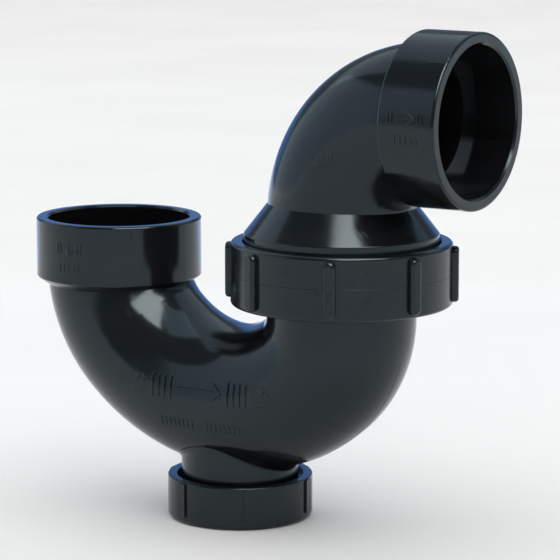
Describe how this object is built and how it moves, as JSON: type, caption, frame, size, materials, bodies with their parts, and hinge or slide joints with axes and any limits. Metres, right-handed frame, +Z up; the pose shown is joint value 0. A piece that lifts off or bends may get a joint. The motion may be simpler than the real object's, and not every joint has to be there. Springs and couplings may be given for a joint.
{
  "type": "p trap",
  "caption": "Black drain P-trap for 1-1/2 inch pipe: a U-bend with a solvent socket, a swivel elbow held by a ribbed union nut, and a threaded clean-out cap below.",
  "frame": {"origin": "centre of the clean-out cap's flat bottom face, where the trap stands", "axes": "+Z up, along the inlet socket's axis and out of its mouth; +X from the inlet leg to the union leg, along the outlet socket's axis and out of its mouth"},
  "size_m": [0.1699, 0.0734, 0.1673],
  "materials": {
    "abs_body": "glossy moulded black ABS",
    "abs_elbow": "glossy moulded black ABS",
    "abs_nut": "semi-gloss moulded black ABS",
    "abs_cap": "semi-gloss moulded black ABS",
    "rubber_seal": "matte black rubber"
  },
  "bodies": {
    "trap": {"trap_bend": "abs_body"},
    "union_seal": {"union_washer": "rubber_seal"},
    "elbow": {"outlet_elbow": "abs_elbow"},
    "nut": {"union_nut": "abs_nut"},
    "cleanout_seal": {"cleanout_washer": "rubber_seal"},
    "cap": {"cleanout_cap": "abs_cap"}
  },
  "joints": [
    {"name": "union_lift", "type": "slide", "parent": "trap", "child": "union_seal", "axis": [0, 0, 1], "range_m": [0, 0.00954]},
    {"name": "nut_turn", "type": "hinge", "parent": "union_seal", "child": "nut", "pos_m": [0.0404, 0, 0.087], "axis": [0, 0, 1], "range_deg": [0, 1080]},
    {"name": "elbow_swivel", "type": "hinge", "parent": "union_seal", "child": "elbow", "pos_m": [0.0404, 0, 0.0908], "axis": [0, 0, 1], "continuous": true},
    {"name": "cap_drop", "type": "slide", "parent": "trap", "child": "cleanout_seal", "axis": [0, 0, -1], "range_m": [0, 0.00954]},
    {"name": "cap_turn", "type": "hinge", "parent": "cleanout_seal", "child": "cap", "pos_m": [0, 0, 0.007], "axis": [0, 0, -1], "range_deg": [0, 1080]}
  ],
  "couplings": [
    {"joint": "union_lift", "follows": "nut_turn", "m_per_rad": 0.00050532},
    {"joint": "cap_drop", "follows": "cap_turn", "m_per_rad": 0.00050532}
  ]
}
